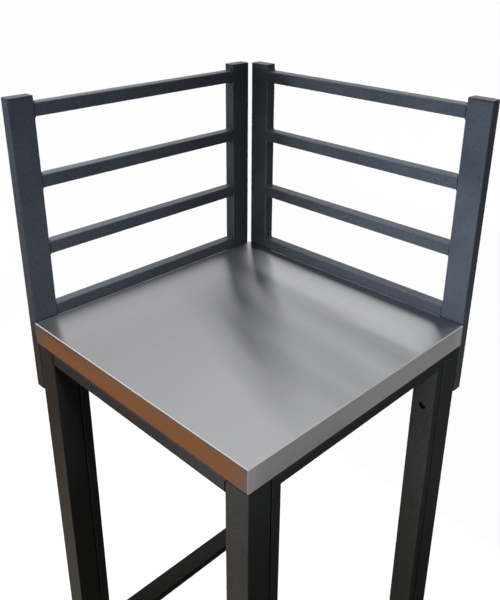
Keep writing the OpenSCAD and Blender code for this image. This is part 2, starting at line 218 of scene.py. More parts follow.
def powder_group():
    """Cloudy colour, fine specks, orange peel, dusty tops with painted skylight and painted shade low down, on
    sprayed and baked powder.
    """
    tree, given, result = new_tree("sprayed_powder", "ShaderNodeTree", {
        "Colour": ("Color", (0.05, 0.05, 0.05, 1)),
        "Dust": ("Color", (0.2, 0.19, 0.17, 1)),
        "Dust amount": ("Float", 0.25),
        "Speck contrast": ("Float", 1.2),
        "Peel size": ("Float", 380.0),
        "Roughness": ("Float", 0.45),
        "Grime height": ("Float", 0.0),
        "Grime tone": ("Float", 1.0),
    }, {"Colour": "Color", "Roughness": "Float", "Normal": "Vector"})
    cloud_size, fleck_size = 9.0, 140.0
    steepest_dusty_and_skylit = 0.3
    shade_fade = 0.05
    peel_strength, peel_depth = 0.22, 0.0004
    place = node(tree, "ShaderNodeTexCoord").outputs["Object"]
    cloud = noise(tree, place, cloud_size, detail=4.0, roughness=0.6)
    speck = noise(tree, place, given["Peel size"], detail=1.0)
    swing = times(tree, minus(tree, speck, 0.5), given["Speck contrast"])
    tone = plus(tree, spread(tree, cloud, 0.3, 0.7, 0.9, 1.1), swing)
    # Below the given height the colour darkens: painted shade low down.
    height = node(tree, "ShaderNodeSeparateXYZ", Vector=place).outputs["Z"]
    unshaded_height = plus(tree, given["Grime height"], shade_fade)
    painted_shade = spread(tree, height, given["Grime height"], unshaded_height, given["Grime tone"], 1.0)
    tone = times(tree, tone, painted_shade)
    up = node(tree, "ShaderNodeSeparateXYZ", Vector=node(tree, "ShaderNodeNewGeometry").outputs["Normal"])
    # Upward faces take the dust colour; on the railings it is bluish and paints skylight as well as dust.
    level = spread(tree, up.outputs["Z"], steepest_dusty_and_skylit, 1.0)
    fleck = noise(tree, place, fleck_size, detail=6.0, roughness=0.7)
    fleck = spread(tree, fleck, 0.35, 0.75, 0.26, 0.56)
    dust_and_skylight_share = times(tree, times(tree, level, fleck), given["Dust amount"])
    colour = blended(tree, dust_and_skylight_share, toned(tree, given["Colour"], tone), given["Dust"])
    grain = node(tree, "ShaderNodeTexVoronoi", Vector=place, Scale=given["Peel size"]).outputs["Distance"]
    bump = node(tree, "ShaderNodeBump", Strength=peel_strength, Distance=peel_depth,
                Height=plus(tree, speck, grain))
    rough = plus(tree, given["Roughness"], spread(tree, cloud, 0.3, 0.7, -0.04, 0.05))
    tree.links.new(colour, result["Colour"])
    tree.links.new(rough, result["Roughness"])
    tree.links.new(bump.outputs[0], result["Normal"])
    return tree


CREVICE_DIRT_AND_SHADE = crevice_dirt_and_shade_group()
WORN_AND_HIGHLIT_EDGES = worn_and_highlit_edge_group()
POWDER = powder_group()


def surfaced(tree, shader, surface, colour, dirt, reach, amount=0.6):
    """Gives the shader a colour with soiling and painted shade in its crevices, and a surface group's roughness
    and normal.
    """
    soiled_and_shaded = node(tree, "ShaderNodeGroup", {"node_tree": CREVICE_DIRT_AND_SHADE}, Colour=colour, Dirt=(*dirt, 1), Reach=reach,
                 Amount=amount)
    tree.links.new(soiled_and_shaded.outputs["Colour"], shader.inputs["Base Color"])
    tree.links.new(surface.outputs["Roughness"], shader.inputs["Roughness"])
    tree.links.new(surface.outputs["Normal"], shader.inputs["Normal"])


# Near-black soiling and painted shade for the crevices of the coats.
COAT_DIRT_AND_SHADE, COAT_DIRT_AND_SHADE_REACH = (0.008, 0.008, 0.008), 0.005


def powder_coat(name, colour, dust, worn_and_highlit_colour, wear_and_highlight, roughness, gloss, **settings):
    """A powder coat, lighter at its corners from rubbing and a painted highlight; gloss is the shader's
    specular level.
    """
    material, tree, shader = new_material(name)
    powder = node(tree, "ShaderNodeGroup", {"node_tree": POWDER}, Colour=(*colour, 1), Dust=(*dust, 1),
                  Roughness=roughness, **settings)
    edges = node(tree, "ShaderNodeGroup", {"node_tree": WORN_AND_HIGHLIT_EDGES}, Amount=wear_and_highlight)
    worn_and_highlit = blended(tree, edges.outputs["Mask"], powder.outputs["Colour"], (*worn_and_highlit_colour, 1))
    surfaced(tree, shader, powder, worn_and_highlit, COAT_DIRT_AND_SHADE, COAT_DIRT_AND_SHADE_REACH)
    shader.inputs["Specular IOR Level"].default_value = gloss
    return material


def dress(names, material):
    """Gives CAD nodes their finish."""
    for name in names:
        mesh = nodes[name].data
        mesh.materials.clear()
        mesh.materials.append(material)


# The frame's corner colour is lighter, from rubbing and as a painted highlight.
FRAME_BLACK, FRAME_DUST, FRAME_WORN_AND_HIGHLIT = (0.029, 0.029, 0.027), (0.15, 0.14, 0.12), (0.07, 0.068, 0.062)
frame_coat = powder_coat("frame_coat", FRAME_BLACK, FRAME_DUST, FRAME_WORN_AND_HIGHLIT, wear_and_highlight=0.3, roughness=0.5, gloss=0.06,
                         Dust_amount=0.3)
CORNERS = ["front_left", "front_right", "back_left", "back_right"]
dress([f"leg_{corner}" for corner in CORNERS] + ["leg_top_plates"], frame_coat)


# Front and back rails
# Flat-lying mild steel tube, welded end-on between the legs. The MIG beads stay as they are under and behind
# the rail, and are ground down on the face that shows, before the coat goes on; a thin near-black bead there
# paints the shade in the joint as a dark seam.
BEAD_END_GAP = 0.003
SHARP_EDGE = radians(32)


def finished(name, mesh, material, sharp=SHARP_EDGE):
    """Turns a bmesh into an object at the origin, smooth apart from its sharp edges."""
    data = bpy.data.meshes.new(name)
    mesh.to_mesh(data)
    mesh.free()
    data.materials.append(material)
    data.shade_smooth()
    data.set_sharp_from_angle(angle=sharp)
    return placed(name, data)


def made_by(tree, piece, settings):
    """Runs a Geometry Nodes tree on a piece and keeps the plain mesh it makes."""
    modifier = piece.modifiers.new("make", "NODES")
    modifier.node_group = tree
    for socket in tree.interface.items_tree:
        if socket.in_out == "INPUT" and socket.name in settings:
            modifier[socket.identifier] = settings[socket.name]
    graph = bpy.context.evaluated_depsgraph_get()
    made = bpy.data.meshes.new_from_object(piece.evaluated_get(graph))
    piece.modifiers.clear()
    made.name = piece.name
    piece.data = made
    return piece


def weld_tree():
    """A bead along each edge of the mesh it is given, with ripples and a little wander."""
    tree, given, result = new_tree("weld_bead", "GeometryNodeTree", {
        "Paths": ("Geometry", None),
        "Bead radius": ("Float", 0.0016),
        "Ripple length": ("Float", 0.0022),
        "Ripple depth": ("Float", 0.22),
        "Wander": ("Float", 0.0003),
        "Seed": ("Float", 3.0),
        "Finish": ("Material", None),
    }, {"Bead": "Geometry"})
    steps_in_ripple, sides = 4.0, 8
    blot_size = 240.0
    least_girth, girth_swing = 0.6, 0.8
    line = node(tree, "GeometryNodeMeshToCurve", Mesh=given["Paths"])
    step = maths(tree, "DIVIDE", given["Ripple length"], steps_in_ripple)
    fine = node(tree, "GeometryNodeResampleCurve", {"mode": "LENGTH"}, Curve=line.outputs[0], Length=step)
    along = node(tree, "GeometryNodeSplineParameter").outputs["Length"]
    phase = times(tree, maths(tree, "DIVIDE", along, given["Ripple length"]), tau)
    ripple = times(tree, maths(tree, "SINE", phase), given["Ripple depth"])
    place = node(tree, "GeometryNodeInputPosition").outputs[0]
    rough = node(tree, "ShaderNodeTexNoise", {"noise_dimensions": "4D"}, Vector=place, W=given["Seed"],
                 Scale=blot_size)
    blots = times(tree, rough.outputs["Fac"], girth_swing)
    girth = plus(tree, plus(tree, least_girth, ripple), blots)
    radius = times(tree, girth, given["Bead radius"])
    sway = node(tree, "ShaderNodeVectorMath", {"operation": "SUBTRACT"}, i0=rough.outputs["Color"],
                i1=(0.5, 0.5, 0.5))
    shift = toned(tree, sway.outputs[0], given["Wander"])
    moved = node(tree, "GeometryNodeSetPosition", Geometry=fine.outputs[0], Offset=shift)
    ring = node(tree, "GeometryNodeCurvePrimitiveCircle", Resolution=sides, Radius=1.0)
    swept = node(tree, "GeometryNodeCurveToMesh", Curve=moved.outputs[0], Profile_Curve=ring.outputs[0],
                 Scale=radius, Fill_Caps=True)
    real = node(tree, "GeometryNodeRealizeInstances", Geometry=swept.outputs[0])
    painted = node(tree, "GeometryNodeSetMaterial", Geometry=real.outputs[0], Material=given["Finish"])
    tree.links.new(painted.outputs[0], result["Bead"])
    return tree


WELD = weld_tree()


def welds(name, runs, finish, bead):
    """Weld beads along straight runs, each given as its two ends. A bead is its radius, ripple and wander."""
    radius, ripple, wander = bead
    mesh = bpy.data.meshes.new(name)
    ends = [end for run in runs for end in run]
    mesh.from_pydata(ends, [(2 * i, 2 * i + 1) for i in range(len(runs))], [])
    piece = placed(name, mesh)
    made_by(WELD, piece, {"Bead radius": radius, "Ripple length": ripple, "Wander": wander, "Finish": finish})
    piece.data.shade_smooth()
    return piece


def rail_runs(rail, outer):
    """Hidden beads under and behind a rail, and the ground beads on its outer face."""
    low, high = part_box(rail)
    inner_y, outer_y = (high.y, low.y) if outer < 0 else (low.y, high.y)
    hidden, ground = [], []
    for x in (low.x, high.x):
        hidden.append(((x, low.y + BEAD_END_GAP, low.z), (x, high.y - BEAD_END_GAP, low.z)))
        hidden.append(((x, inner_y, low.z + BEAD_END_GAP), (x, inner_y, high.z - BEAD_END_GAP)))
        ground.append(((x, outer_y, low.z + BEAD_END_GAP), (x, outer_y, high.z - BEAD_END_GAP)))
    return hidden, ground


RAIL_BEAD, RAIL_SHADE_BEAD = (0.002, 0.0026, 0.0006), (0.0012, 0.0026, 0.0006)
# A near-black coat for thin beads that paint the shade in the joints.
JOINT_SHADE_BLACK, JOINT_SHADE_DUST, JOINT_SHADE_EDGE_COLOUR = (0.007, 0.007, 0.007), (0.03, 0.03, 0.03), (0.02, 0.02, 0.02)
dress(["front_rail", "back_rail"], frame_coat)
front_hidden, front_ground = rail_runs("front_rail", -1)
back_hidden, back_ground = rail_runs("back_rail", 1)
seam_coat = powder_coat("seam_coat", JOINT_SHADE_BLACK, JOINT_SHADE_DUST, JOINT_SHADE_EDGE_COLOUR, wear_and_highlight=0.0, roughness=0.6, gloss=0.05,
                        Dust_amount=0.2)
beads = welds("rail_welds", front_hidden + back_hidden, frame_coat, RAIL_BEAD)
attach(beads, "module")
shade_seams = welds("rail_ground_welds", front_ground + back_ground, seam_coat, RAIL_SHADE_BEAD)
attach(shade_seams, "module")


# Side frames
# A flat tube, four lengths mitred at the corners and welded into a ring that stands between the legs. The
# mitres are ground flush outside; a bead stays in each inner corner.
SIDE_BARS = [f"{side}_{bar}" for side in ("left", "right")
             for bar in ("stile_front", "stile_back", "upper_rail", "lower_rail")]
SIDE_BEAD = (0.0018, 0.0022, 0.0003)
dress(SIDE_BARS, frame_coat)
corner_runs = []
for side in ("left", "right"):
    opening_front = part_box(f"{side}_stile_front")[1].y
    opening_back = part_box(f"{side}_stile_back")[0].y
    opening_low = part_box(f"{side}_lower_rail")[1].z
    opening_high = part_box(f"{side}_upper_rail")[0].z
    low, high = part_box(f"{side}_lower_rail")
    for y in (opening_front, opening_back):
        for z in (opening_low, opening_high):
            corner_runs.append(((low.x + BEAD_END_GAP, y, z), (high.x - BEAD_END_GAP, y, z)))
beads = welds("side_frame_welds", corner_runs, frame_coat, SIDE_BEAD)
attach(beads, "module")


# Side frame fasteners
# Zinc-plated M8 socket cap screws hold the side frames to rivet nuts in the legs, over washers and spacers.
# Each is driven through a hole in the stile's inner wall.
def mottled_group():
    """Cloudy colour and a fine grain, for plated, moulded and cut surfaces."""
    tree, given, result = new_tree("mottled", "ShaderNodeTree", {
        "Colour": ("Color", (0.5, 0.5, 0.5, 1)),
        "Contrast": ("Float", 0.3),
        "Cloud size": ("Float", 25.0),
        "Grain size": ("Float", 1000.0),
        "Grain depth": ("Float", 0.0001),
        "Roughness": ("Float", 0.5),
        "Roughness swing": ("Float", 0.1),
    }, {"Colour": "Color", "Roughness": "Float", "Normal": "Vector"})
    grain_strength = 0.4
    place = node(tree, "ShaderNodeTexCoord").outputs["Object"]
    cloud = minus(tree, noise(tree, place, given["Cloud size"], detail=4.0, roughness=0.6), 0.5)
    grain = noise(tree, place, given["Grain size"])
    tone = plus(tree, 1.0, times(tree, cloud, given["Contrast"]))
    rough = plus(tree, given["Roughness"], times(tree, cloud, given["Roughness swing"]))
    bump = node(tree, "ShaderNodeBump", Strength=grain_strength, Distance=given["Grain depth"], Height=grain)
    tree.links.new(toned(tree, given["Colour"], tone), result["Colour"])
    tree.links.new(rough, result["Roughness"])
    tree.links.new(bump.outputs[0], result["Normal"])
    return tree


MOTTLED = mottled_group()


def mottled(name, colour, dirt, reach, metallic=0.0, **settings):
    """A material from the mottled group, darkened in its crevices by soiling and painted shade."""
    material, tree, shader = new_material(name)
    surface = node(tree, "ShaderNodeGroup", {"node_tree": MOTTLED}, Colour=(*colour, 1), **settings)
    surfaced(tree, shader, surface, surface.outputs["Colour"], dirt, reach)
    shader.inputs["Metallic"].default_value = metallic
    return material


ROUND_STEPS = 36
HEX_TURN = pi / 3


def circle(radius, z, count=ROUND_STEPS):
    """Points round a circle, anticlockwise."""
    return [Vector((radius * cos(tau * i / count), radius * sin(tau * i / count), z)) for i in range(count)]


def hexagon(flats, z, most=1.0, count=ROUND_STEPS):
    """A hexagon drawn with the points of a circle and cut off at the radius most."""
    ring = []
    for i in range(count):
        turn = (tau * i / count + HEX_TURN / 2) % HEX_TURN - HEX_TURN / 2
        radius = min(flats / 2 / cos(turn), most)
        ring.append(Vector((radius * cos(tau * i / count), radius * sin(tau * i / count), z)))
    return ring


def lofted(mesh, rings, place=Matrix.Identity(4), closed=True):
    """A skin through rings of points that run anticlockwise, each with as many points."""
    rows = [[mesh.verts.new(place @ point) for point in ring] for ring in rings]
    count = len(rows[0])
    for first, second in zip(rows, rows[1:]):
        for i in range(count):
            j = (i + 1) % count
            mesh.faces.new((first[i], first[j], second[j], second[i]))
    if closed:
        mesh.faces.new(list(reversed(rows[0])))
        mesh.faces.new(rows[-1])
    return mesh


def set_out_tree():
    """Copies a part onto points; each point's aim attribute says where the part's Z axis points."""
    tree, given, result = new_tree("set_out", "GeometryNodeTree", {
        "Places": ("Geometry", None),
        "Part": ("Object", None),
        "Most turn": ("Float", 0.0),
        "Seed": ("Int", 5),
        "Finish": ("Material", None),
    }, {"Parts": "Geometry"})
    part = node(tree, "GeometryNodeObjectInfo", Object=given["Part"])
    aim = node(tree, "GeometryNodeInputNamedAttribute", {"data_type": "FLOAT_VECTOR"}, Name="aim").outputs[0]
    aimed = node(tree, "FunctionNodeAlignRotationToVector", {"axis": "Z"}, Vector=aim)
    turn = node(tree, "FunctionNodeRandomValue", {"data_type": "FLOAT"}, Seed=given["Seed"])
    tree.links.new(given["Most turn"], turn.inputs[3])
    own_turn = node(tree, "FunctionNodeAxisAngleToRotation", Axis=(0, 0, 1), Angle=turn.outputs[1])
    turned = node(tree, "FunctionNodeRotateRotation", {"rotation_space": "LOCAL"}, Rotation=aimed.outputs[0],
                  Rotate_By=own_turn.outputs[0])
    copies = node(tree, "GeometryNodeInstanceOnPoints", Points=given["Places"],
                  Instance=part.outputs["Geometry"], Rotation=turned.outputs[0])
    real = node(tree, "GeometryNodeRealizeInstances", Geometry=copies.outputs[0])
    painted = node(tree, "GeometryNodeSetMaterial", Geometry=real.outputs[0], Material=given["Finish"])
    tree.links.new(painted.outputs[0], result["Parts"])
    return tree


SET_OUT = set_out_tree()


def set_out(name, part, places, finish, most_turn=0.0, seed=5):
    """One object with a copy of the part at each place, given as a point and an aim. The part is used up."""
    mesh = bpy.data.meshes.new(name)
    mesh.from_pydata([point for point, aim in places], [], [])
    aims = mesh.attributes.new("aim", "FLOAT_VECTOR", "POINT")
    for index, (point, aim) in enumerate(places):
        aims.data[index].vector = aim
    piece = placed(name, mesh)
    made_by(SET_OUT, piece, {"Part": part, "Most turn": most_turn, "Seed": seed, "Finish": finish})
    bpy.data.objects.remove(part)
    return piece


THREAD_D = 0.008
THREAD_PLAY = 0.00005
SHANK_POINT = 0.001
DRIVE_FLATS = 0.0049
DRIVE_LIP = 0.0002
zinc_plate = mottled("zinc_plate", (0.56, 0.57, 0.58), dirt=(0.06, 0.05, 0.04), reach=0.002, metallic=1.0,
                     Contrast=0.5, Cloud_size=350.0, Grain_size=2500.0, Roughness=0.36, Roughness_swing=0.4)
dress(["side_frame_washers", "side_frame_spacers", "side_frame_rivet_nuts"], zinc_plate)


def cap_screw(head_d, head_h, length):
    """A socket cap screw with a knurled head below the origin and its shank pointing up."""
    knurl, knurl_rest = 0.00012, 0.0001
    count = 72
    chamfer = 0.0006
    socket_floor, socket_mouth = -head_h * 0.45, DRIVE_FLATS * 0.62

    def knurled(radius, z):
        ring = circle(radius, z, count)
        return [point * (1 - knurl / radius * (i % 2)) + Vector((0, 0, z * knurl / radius * (i % 2)))
                for i, point in enumerate(ring)]

    rings = [
        hexagon(DRIVE_FLATS, socket_floor, count=count),
        hexagon(DRIVE_FLATS, -head_h + DRIVE_LIP, count=count),
        circle(socket_mouth, -head_h, count),
        circle(head_d / 2 - chamfer, -head_h, count),
        knurled(head_d / 2 - knurl_rest, -head_h + chamfer),
        knurled(head_d / 2 - knurl_rest, -chamfer),
        circle(head_d / 2 - chamfer, 0, count),
        circle(THREAD_D / 2 - THREAD_PLAY, 0, count),
        circle(THREAD_D / 2 - THREAD_PLAY, length - SHANK_POINT, count),
        circle(THREAD_D / 2 - SHANK_POINT, length, count),
    ]
    return finished("cap_screw", lofted(bmesh.new(), rings), zinc_plate)


def box_middle(node_name):
    """The middle of a CAD node's box."""
    low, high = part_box(node_name)
    return (low + high) / 2


SIDE_BOLT_EDGE = 0.114
SIDE_SCREW_LENGTH = 0.025
SIDE_HEAD_D, SIDE_HEAD_H = 0.013, THREAD_D
SIDE_WASHER_T = 0.0016
SIDE_WALL = 0.0015
side_seats = []
for side in ("left", "right"):
    for end, outward in (("front", -1), ("back", 1)):
        low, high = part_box(f"{side}_stile_{end}")
        seat_y = (low.y if outward < 0 else high.y) - outward * (SIDE_WALL + SIDE_WASHER_T)
        for z in (low.z + SIDE_BOLT_EDGE, high.z - SIDE_BOLT_EDGE):
            side_seats.append((((low.x + high.x) / 2, seat_y, z), (0, outward, 0)))
screw_part = cap_screw(SIDE_HEAD_D, SIDE_HEAD_H, SIDE_SCREW_LENGTH)
screws = set_out("side_frame_screws", screw_part, side_seats, zinc_plate, HEX_TURN)
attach(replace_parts(screws, "side_frame_bolts"), "module")


# Board, seals and worktop screws
# A film-faced birch board fills the steel skin. It lies on two strips of black cellular rubber and is pulled
# down by M6 socket screws from below, through the long rails.
board = mottled("film_faced_board", (0.12, 0.07, 0.04), dirt=(0.03, 0.02, 0.012), reach=0.004, Contrast=0.6,
                Cloud_size=22.0, Grain_size=600.0, Grain_depth=0.0003, Roughness=0.5, Roughness_swing=0.2)
rubber = mottled("seal_rubber", (0.014, 0.014, 0.014), dirt=(0.008, 0.008, 0.008), reach=0.003, Contrast=0.4,
                 Cloud_size=80.0, Grain_size=900.0, Grain_depth=0.0003, Roughness=0.8, Roughness_swing=0.1)
dress(["worktop_core"], board)
dress(["front_seal_strip", "back_seal_strip"], rubber)


def button_screw(thread_d, head_d, head_h, length, drive):
    """A button-head socket screw: a domed head below the origin and its shank pointing up."""
    dome_steps = 7
    socket_floor, socket_mouth = -head_h * 0.4, drive * 0.64
    flat_r = drive * 0.72
    rim_share = 0.12
    rings = [hexagon(drive, socket_floor), hexagon(drive, -head_h + DRIVE_LIP), circle(socket_mouth, -head_h)]
    for step in range(dome_steps + 1):
        turn = pi / 2 * step / dome_steps
        dome_r = flat_r + (head_d / 2 - flat_r) * sin(turn)
        rings.append(circle(dome_r, -head_h * (rim_share + (1 - rim_share) * cos(turn))))
    rings += [
        circle(head_d / 2, 0),
        circle(thread_d / 2 - THREAD_PLAY, 0),
        circle(thread_d / 2 - THREAD_PLAY, length - SHANK_POINT),
        circle(thread_d / 2 - SHANK_POINT, length),
    ]
    return finished("button_screw", lofted(bmesh.new(), rings), zinc_plate)


SCREW_D = 0.006
SCREW_HEAD_D, SCREW_HEAD_H = 2 * SCREW_D, 0.6 * SCREW_D
SCREW_DRIVE_FLATS = 0.0036
screw_low, screw_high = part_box("worktop_screws")
screw_seat_z = screw_low.z + SCREW_HEAD_H
screw_places = [((x, y, screw_seat_z), (0, 0, 1))
                for x in (screw_low.x + SCREW_HEAD_D / 2, screw_high.x - SCREW_HEAD_D / 2)
                for y in (screw_low.y + SCREW_HEAD_D / 2, screw_high.y - SCREW_HEAD_D / 2)]
screw_part = button_screw(SCREW_D, SCREW_HEAD_D, SCREW_HEAD_H, screw_high.z - screw_seat_z, SCREW_DRIVE_FLATS)
screws = set_out("worktop_socket_screws", screw_part, screw_places, zinc_plate, HEX_TURN, seed=8)
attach(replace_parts(screws, "worktop_screws"), "module")


# Worktop skin
# One sheet of 1.2 mm stainless, brushed along its depth, folded down on all four sides round the board and
# turned in below it as a hem. The four upright corners are welded, ground and brushed out by hand.
def drawn_out(tree, flat, lines, detail=1.0, roughness=0.5, turn=0.0):
    """Noise drawn out into lines on the sheet's flat, so many to the metre across and along the brushing."""
    place = node(tree, "ShaderNodeMapping", Vector=flat, Rotation=(0, 0, turn), Scale=(*lines, 1.0)).outputs[0]
    return noise(tree, place, 1.0, detail, roughness)


def steel_group():
    """Long grinding lines, faint waves, smudges and scratches of a brushed sheet. Hand grinding is duller."""
    tree, given, result = new_tree("brushed_sheet", "ShaderNodeTree", {
        "Colour": ("Color", (0.5, 0.5, 0.5, 1)),
        "Roughness": ("Float", 0.26),
        "Ground": ("Float", 0.0),
    }, {"Colour": "Color", "Roughness": "Float", "Normal": "Vector"})
    coarse_lines, fine_lines, scratch_lines = (230.0, 2.2), (900.0, 7.0), (600.0, 5.0)
    scratch_turn, scratch_depth = 0.5, 0.4
    ripple_lines, ripple_share = (3.0, 14.0), 0.9
    hand_size, smudge_size, wave_size = 420.0, 7.0, 6.0
    ground_dark, ground_rough = 0.18, 0.22
    wave_depth = 0.0015
    brush_strength, brush_depth = 0.06, 0.0001
    flat = node(tree, "ShaderNodeUVMap", {"uv_map": "sheet"}).outputs[0]
    place = node(tree, "ShaderNodeTexCoord").outputs["Object"]
    ground = given["Ground"]
    coarse = drawn_out(tree, flat, coarse_lines, detail=3.0, roughness=0.6)
    fine = drawn_out(tree, flat, fine_lines, detail=2.0, roughness=0.6)
    lines = plus(tree, times(tree, coarse, 0.5), times(tree, fine, 0.5))
    hand = noise(tree, place, hand_size, detail=3.0, roughness=0.6)
    lines = plus(tree, times(tree, lines, minus(tree, 1.0, ground)), times(tree, hand, ground))
    scratches = spread(tree, drawn_out(tree, flat, scratch_lines, turn=scratch_turn), 0.73, 0.78)
    smudge = noise(tree, place, smudge_size, detail=1.0, roughness=0.4)
    tone = spread(tree, lines, 0.25, 0.75, 0.95, 1.04)
    tone = times(tree, tone, spread(tree, smudge, 0.3, 0.7, 1.01, 0.99))
    dulled = minus(tree, 1.0, times(tree, ground, ground_dark))
    tone = times(tree, tone, dulled)
    ripple = times(tree, drawn_out(tree, flat, ripple_lines), ripple_share)
    wave = plus(tree, noise(tree, flat, wave_size, detail=1.0, roughness=0.4), ripple)
    wavy = node(tree, "ShaderNodeBump", Strength=1.0, Distance=wave_depth, Height=wave).outputs[0]
    height = minus(tree, lines, times(tree, scratches, scratch_depth))
    brushed = node(tree, "ShaderNodeBump", Strength=brush_strength, Distance=brush_depth, Height=height,
                   Normal=wavy)
    rough = plus(tree, given["Roughness"], times(tree, ground, ground_rough))
    tree.links.new(toned(tree, given["Colour"], tone), result["Colour"])
    tree.links.new(rough, result["Roughness"])
    tree.links.new(brushed.outputs[0], result["Normal"])
    return tree


STEEL = steel_group()
SKIN_LOW, SKIN_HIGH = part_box("worktop_skin")
SKIN_MIDDLE = (SKIN_LOW + SKIN_HIGH) / 2
SKIN_HALF = (SKIN_HIGH.x - SKIN_LOW.x) / 2
GROUND_REACH = 0.050
GROUND_TOP, GROUND_FULL = 0.001, 0.003
GROUND_DULL = 0.07
# Soiling and painted shade in the creases of the skin.
SKIN_DIRT_AND_SHADE, SKIN_DIRT_AND_SHADE_REACH, SKIN_DIRT_AND_SHADE_AMOUNT = (0.15, 0.14, 0.13), 0.004, 0.4


def brushed_steel(name, colour, roughness):
    """Brushed stainless, ground by hand at its upright corners. Its gloss spreads across the brushed lines."""
    material, tree, shader = new_material(name)
    place = node(tree, "ShaderNodeTexCoord").outputs["Object"]
    centred = node(tree, "ShaderNodeMapping", Vector=place, Location=tuple(-SKIN_MIDDLE)).outputs[0]
    reach = node(tree, "ShaderNodeVectorMath", {"operation": "ABSOLUTE"}, i0=centred)
    axes = node(tree, "ShaderNodeSeparateXYZ", Vector=reach.outputs[0])
    corner = maths(tree, "MINIMUM", axes.outputs["X"], axes.outputs["Y"])
    near = maths(tree, "POWER", spread(tree, corner, SKIN_HALF - GROUND_REACH, SKIN_HALF), 2.0)
    top = (SKIN_HIGH.z - SKIN_LOW.z) / 2
    height = node(tree, "ShaderNodeSeparateXYZ", Vector=centred).outputs["Z"]
    below = spread(tree, height, top - GROUND_TOP, top - GROUND_FULL)
    ground = times(tree, near, below)
    sheet = node(tree, "ShaderNodeGroup", {"node_tree": STEEL}, Colour=(*colour, 1), Roughness=roughness,
                 Ground=ground)
    surfaced(tree, shader, sheet, sheet.outputs["Colour"], SKIN_DIRT_AND_SHADE, SKIN_DIRT_AND_SHADE_REACH, SKIN_DIRT_AND_SHADE_AMOUNT)
    tangent = node(tree, "ShaderNodeTangent", {"direction_type": "UV_MAP", "uv_map": "sheet"})
    tree.links.new(tangent.outputs[0], shader.inputs["Tangent"])
    dulled = minus(tree, 1.0, times(tree, ground, GROUND_DULL))
    tree.links.new(dulled, shader.inputs["Metallic"])
    shader.inputs["Anisotropic"].default_value = 1.0
    return material


CORNER_STEPS = 8
LEAST_CORNER = 0.0004


def round_rectangle(middle, half_w, half_d, radius, z):
    """A rectangle with round corners, anticlockwise, as many points whatever its size."""
    ring = []
    for quarter, (x, y) in enumerate(((1, 1), (-1, 1), (-1, -1), (1, -1))):
        for step in range(CORNER_STEPS + 1):
            turn = pi / 2 * (quarter + step / CORNER_STEPS)
            ring.append(Vector((middle.x + x * (half_w - radius) + radius * cos(turn),
                                middle.y + y * (half_d - radius) + radius * sin(turn), z)))
    return ring


def folded_skin():
    """The outside of the folded sheet, from the hem's inner edge out, up the skirt and over the top."""
    fold_r, hem_fold_r, upright_r = 0.0018, 0.0015, 0.0022
    fold_steps, hem_steps = 8, 4
    hem_width = 0.020
    profile = [(hem_width, SKIN_LOW.z)]
    for step in range(hem_steps + 1):
        turn = pi / 2 * step / hem_steps
        profile.append((hem_fold_r * (1 - sin(turn)), SKIN_LOW.z + hem_fold_r * (1 - cos(turn))))
    for step in range(fold_steps + 1):
        turn = pi / 2 * step / fold_steps
        profile.append((fold_r * (1 - cos(turn)), SKIN_HIGH.z - fold_r * (1 - sin(turn))))
    rings = []
    for inset, z in profile:
        half = SKIN_HALF - inset
        rings.append(round_rectangle(SKIN_MIDDLE, half, half, max(upright_r - inset, LEAST_CORNER), z))
    mesh = lofted(bmesh.new(), rings, closed=False)
    mesh.verts.ensure_lookup_table()
    mesh.faces.new(mesh.verts[-len(rings[0]):])
    flat = mesh.loops.layers.uv.new("sheet")
    for face in mesh.faces:
        sideways = abs(face.normal.x) >= abs(face.normal.y)
        for loop in face.loops:
            point = loop.vert.co - SKIN_MIDDLE
            drop = SKIN_HIGH.z - loop.vert.co.z
            x = point.x + (drop if point.x > 0 else -drop) * sideways
            y = point.y + (drop if point.y > 0 else -drop) * (not sideways)
            loop[flat].uv = (x, y)
    return mesh


SHEET_T = 0.00115
SKIN_SHARP = radians(40)
STEEL_GREY, STEEL_ROUGHNESS = (0.514, 0.518, 0.53), 0.285
stainless = brushed_steel("brushed_stainless", STEEL_GREY, STEEL_ROUGHNESS)
skin_mesh = folded_skin()
skin_mesh.normal_update()
skin = finished("worktop_folded_skin", skin_mesh, stainless, SKIN_SHARP)
wall = skin.modifiers.new("wall", "SOLIDIFY")
wall.thickness = SHEET_T
wall.offset = -1.0
thick = bpy.data.meshes.new_from_object(skin.evaluated_get(bpy.context.evaluated_depsgraph_get()))
skin.modifiers.clear()
skin.data = thick
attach(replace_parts(skin, "worktop_skin"), "module")


# Railings
# Two ladders of rectangular mild steel tube, bolted behind the worktop. Each rung is welded to its posts above
# and below, with a near-black bead at its faces that paints the shade in the joint. The powder coat is a
# lighter, bluer grey than the frame's, in part painted skylight, with more painted skylight on its dusty tops.
# Its corners are lighter from rubbing and a painted highlight, most on the two posts at the corner, and it is
# darkened with painted shade below the worktop.
# The railing dust colour is bluish and strong: on upward faces it paints skylight as well as dust.
RAILING_GREY_AND_SKYLIGHT, RAILING_DUST_AND_SKYLIGHT, RAILING_WORN_AND_HIGHLIT = (0.049, 0.056, 0.066), (0.30, 0.33, 0.38), (0.17, 0.20, 0.25)
# Below this height the railing coat darkens: painted shade under the worktop.
PAINTED_SHADE_HEIGHT, PAINTED_SHADE_TONE = 0.875, 0.47
